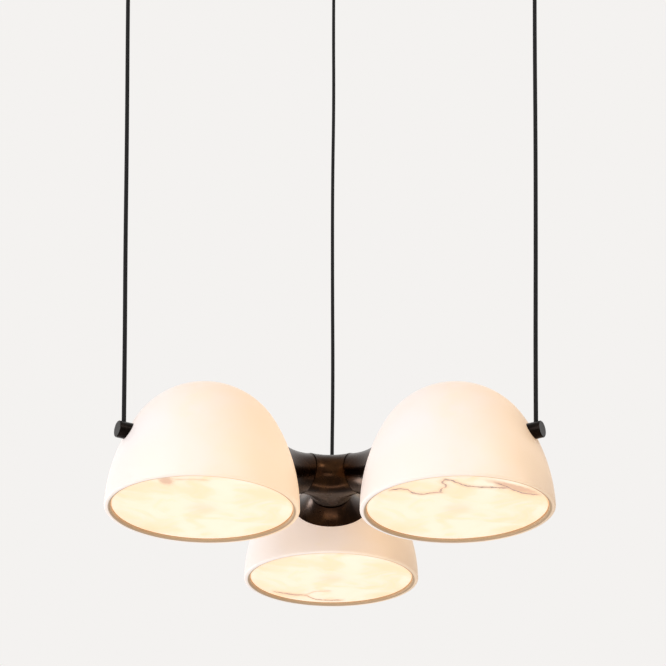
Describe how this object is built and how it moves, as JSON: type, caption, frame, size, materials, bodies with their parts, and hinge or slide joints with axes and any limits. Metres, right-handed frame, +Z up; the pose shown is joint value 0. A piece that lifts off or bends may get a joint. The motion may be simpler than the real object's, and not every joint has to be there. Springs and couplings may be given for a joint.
{
  "type": "pendant light",
  "caption": "Pendant light with upside-down alabaster bowls on a Y-shaped bronze hub, hung by textile cords from separate ceiling cups.",
  "frame": {"origin": "on the ceiling plane, on the lamp's upright axis, at the centre of both circles of ceiling screws", "axes": "+Z up into the ceiling, -Y to the front between the left and right bowls, +X to the right"},
  "size_m": [0.7184, 0.6322, 1.29],
  "materials": {
    "alabaster": "honed alabaster, matt outside, faint clouding, glowing from the light inside",
    "alabaster_disc": "honed translucent alabaster with fine brown veins, lit from behind",
    "bronze": "dark brown patinated bronze, satin gloss",
    "dark_bronze": "blackened bronze, satin",
    "textile_cord": "black braided textile over a round cable",
    "steel": "zinc-plated steel",
    "aluminium": "bare cast aluminium",
    "light_board": "white circuit board with warm light chips"
  },
  "bodies": {
    "ceiling": {"bracket_left": "steel", "ceiling_cup_left": "dark_bronze", "bracket_right": "steel", "ceiling_cup_right": "dark_bronze", "bracket_rear": "steel", "ceiling_cup_rear": "dark_bronze"},
    "lamp": {"hub_core": "bronze", "bowl_left": "alabaster", "carrier_left": "steel", "heat_sink_left": "aluminium", "light_board_left": "light_board", "trumpet_left": "bronze", "stud_left": "steel", "knob_left": "dark_bronze", "knob_cap_left": "dark_bronze", "bowl_right": "alabaster", "carrier_right": "steel", "heat_sink_right": "aluminium", "light_board_right": "light_board", "trumpet_right": "bronze", "stud_right": "steel", "knob_right": "dark_bronze", "knob_cap_right": "dark_bronze", "bowl_rear": "alabaster", "carrier_rear": "steel", "heat_sink_rear": "aluminium", "light_board_rear": "light_board", "trumpet_rear": "bronze", "stud_rear": "steel", "knob_rear": "dark_bronze", "knob_cap_rear": "dark_bronze"},
    "swivel_left": {"swivel_left": "steel"},
    "cord_left": {"cord_left": "textile_cord", "fork_left": "dark_bronze", "fork_pin_left": "steel", "ball_left": "steel", "ball_pin_left": "steel"},
    "diffuser_left": {"diffuser_left": "alabaster_disc", "magnet_left": "steel"},
    "swivel_right": {"swivel_right": "steel"},
    "cord_right": {"cord_right": "textile_cord", "fork_right": "dark_bronze", "fork_pin_right": "steel", "ball_right": "steel", "ball_pin_right": "steel"},
    "diffuser_right": {"diffuser_right": "alabaster_disc", "magnet_right": "steel"},
    "swivel_rear": {"swivel_rear": "steel"},
    "cord_rear": {"cord_rear": "textile_cord", "fork_rear": "dark_bronze", "fork_pin_rear": "steel"},
    "diffuser_rear": {"diffuser_rear": "alabaster_disc", "magnet_rear": "steel"},
    "ball_rear": {"ball_rear": "steel", "ball_pin_rear": "steel"}
  },
  "joints": [
    {"name": "sway_side", "type": "hinge", "parent": "ceiling", "child": "swivel_rear", "pos_m": [0, 0.37085, -0.02], "axis": [0, 1, 0], "range_deg": [-3.5, 3.5]},
    {"name": "sway_fore_aft", "type": "hinge", "parent": "swivel_rear", "child": "cord_rear", "pos_m": [0, 0.37085, -0.02], "axis": [1, 0, 0], "range_deg": [-3.5, 3.5]},
    {"name": "rear_ball_fore_aft", "type": "hinge", "parent": "cord_rear", "child": "ball_rear", "pos_m": [0, 0.30267, -1.2024], "axis": [1, 0, 0], "range_deg": [-4.4, 4.4]},
    {"name": "rear_ball_side", "type": "hinge", "parent": "ball_rear", "child": "lamp", "pos_m": [0, 0.30267, -1.2024], "axis": [0, 1, 0], "range_deg": [-4.4, 4.4]},
    {"name": "left_cord_side", "type": "hinge", "parent": "ceiling", "child": "swivel_left", "pos_m": [-0.32116, -0.18542, -0.02], "axis": [0, 1, 0], "range_deg": [-3.5, 3.5]},
    {"name": "left_cord_fore_aft", "type": "hinge", "parent": "swivel_left", "child": "cord_left", "pos_m": [-0.32116, -0.18542, -0.02], "axis": [1, 0, 0], "range_deg": [-3.5, 3.5]},
    {"name": "right_cord_side", "type": "hinge", "parent": "ceiling", "child": "swivel_right", "pos_m": [0.32116, -0.18542, -0.02], "axis": [0, 1, 0], "range_deg": [-3.5, 3.5]},
    {"name": "right_cord_fore_aft", "type": "hinge", "parent": "swivel_right", "child": "cord_right", "pos_m": [0.32116, -0.18542, -0.02], "axis": [1, 0, 0], "range_deg": [-3.5, 3.5]},
    {"name": "diffuser_drop_left", "type": "slide", "parent": "lamp", "child": "diffuser_left", "axis": [0, 0, -1], "range_m": [0, 0.06]},
    {"name": "diffuser_drop_right", "type": "slide", "parent": "lamp", "child": "diffuser_right", "axis": [0, 0, -1], "range_m": [0, 0.06]},
    {"name": "diffuser_drop_rear", "type": "slide", "parent": "lamp", "child": "diffuser_rear", "axis": [0, 0, -1], "range_m": [0, 0.06]}
  ],
  "couplings": [
    {"joint": "rear_ball_fore_aft", "follows": "sway_fore_aft", "ratio": -1.2252},
    {"joint": "rear_ball_side", "follows": "sway_side", "ratio": -1.2252},
    {"joint": "left_cord_side", "follows": "sway_side", "ratio": 1},
    {"joint": "left_cord_fore_aft", "follows": "sway_fore_aft", "ratio": 1},
    {"joint": "right_cord_side", "follows": "sway_side", "ratio": 1},
    {"joint": "right_cord_fore_aft", "follows": "sway_fore_aft", "ratio": 1}
  ]
}
